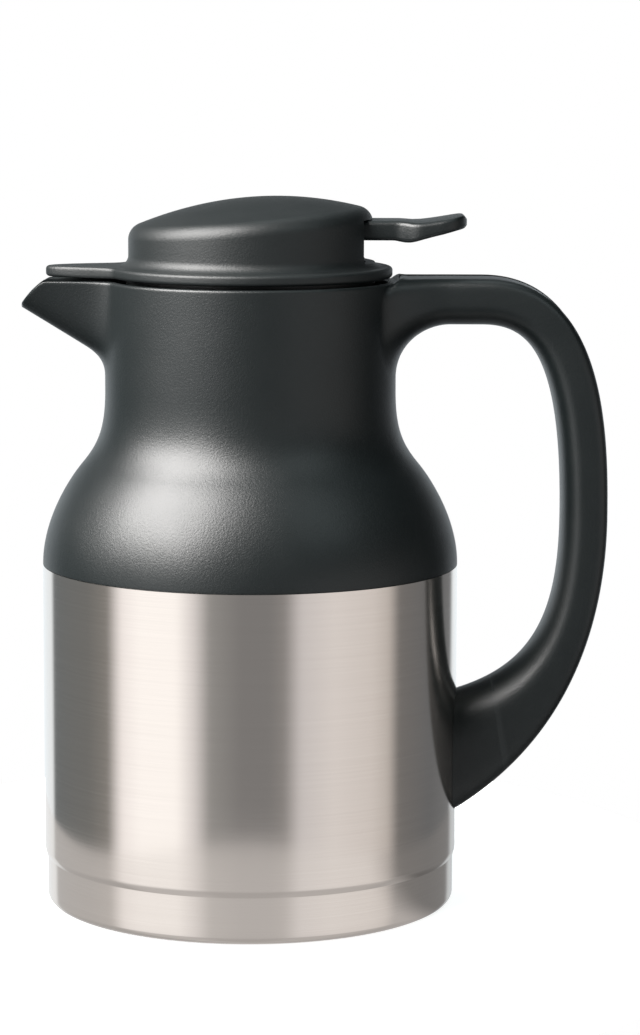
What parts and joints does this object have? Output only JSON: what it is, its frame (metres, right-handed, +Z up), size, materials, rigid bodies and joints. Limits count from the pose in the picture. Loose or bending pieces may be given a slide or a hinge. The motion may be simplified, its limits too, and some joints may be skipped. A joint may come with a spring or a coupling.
{
  "type": "thermal carafe",
  "caption": "Vacuum-insulated jug with a steel body, a one-piece shoulder, spout and handle, and a screw-in lid whose thumb lever lifts the pouring valve.",
  "frame": {"origin": "centre of the underside, on the body's axis, where it stands", "axes": "+Z up along the body's axis, -X towards the spout, +X towards the handle"},
  "size_m": [0.1967, 0.14, 0.2386],
  "materials": {
    "body_steel": "stainless sheet, brushed round the body, warm tint",
    "base_steel": "stainless sheet, brushed round the body",
    "liner_steel": "plain drawn stainless sheet",
    "getter_metal": "dull sintered metal",
    "seal_metal": "dull solder",
    "pad_rubber": "matt, non-slip",
    "moulding_plastic": "fine spark-eroded grain, satin",
    "strip_plastic": "smooth satin",
    "bracket_steel": "plain sheet, spot welded",
    "screw_steel": "zinc plated",
    "gasket_silicone": "silicone, matt",
    "ring_plastic": "plain satin",
    "stopper_silicone": "silicone, matt",
    "stopper_plastic": "plain satin",
    "deck_plastic": "plain satin",
    "lid_plastic": "fine spark-eroded grain, satin",
    "pin_steel": "ground stainless",
    "lever_plastic": "fine spark-eroded grain, satin",
    "valve_plastic": "plain satin",
    "spring_steel": "drawn stainless wire"
  },
  "bodies": {
    "carafe": {"outer_shell": "body_steel", "base_cup": "base_steel", "inner_liner": "liner_steel", "getter": "getter_metal", "vacuum_seal": "seal_metal", "base_pad": "pad_rubber", "shoulder_and_handle": "moulding_plastic", "handle_strip": "strip_plastic", "handle_bracket": "bracket_steel", "handle_screw": "screw_steel", "mouth_gasket": "gasket_silicone", "neck_ring": "ring_plastic"},
    "seal_ring": {"stopper_seal": "stopper_silicone"},
    "lid": {"stopper_body": "stopper_plastic", "stopper_deck": "deck_plastic", "deck_screws": "screw_steel", "stem_seal": "gasket_silicone", "lid_cover": "lid_plastic", "pivot_pin": "pin_steel"},
    "lever": {"thumb_lever": "lever_plastic"},
    "valve": {"valve_stem": "pin_steel", "stem_nut": "pin_steel", "valve_disc": "valve_plastic", "valve_seal": "stopper_silicone", "valve_spring": "spring_steel"}
  },
  "joints": [
    {"name": "lid_rise", "type": "slide", "parent": "carafe", "child": "seal_ring", "axis": [0, 0, 1], "range_m": [0, 0.0481]},
    {"name": "lid_unscrew", "type": "hinge", "parent": "seal_ring", "child": "lid", "pos_m": [0, 0, 0], "axis": [0, 0, 1], "range_deg": [0, 720]},
    {"name": "lever_press", "type": "hinge", "parent": "lid", "child": "lever", "pos_m": [0.0295, 0, 0.2277], "axis": [0, 1, 0], "range_deg": [0, 12], "stiffness_Nm_per_rad": 0.6, "springref_deg": -17.19},
    {"name": "valve_lift", "type": "slide", "parent": "lid", "child": "valve", "axis": [0, 0, 1], "range_m": [0, 0.0063], "deforming": ["valve_spring"]}
  ],
  "couplings": [
    {"joint": "lid_rise", "follows": "lid_unscrew", "m_per_rad": 0.0038197},
    {"joint": "valve_lift", "follows": "lever_press", "m_per_rad": 0.0297}
  ]
}
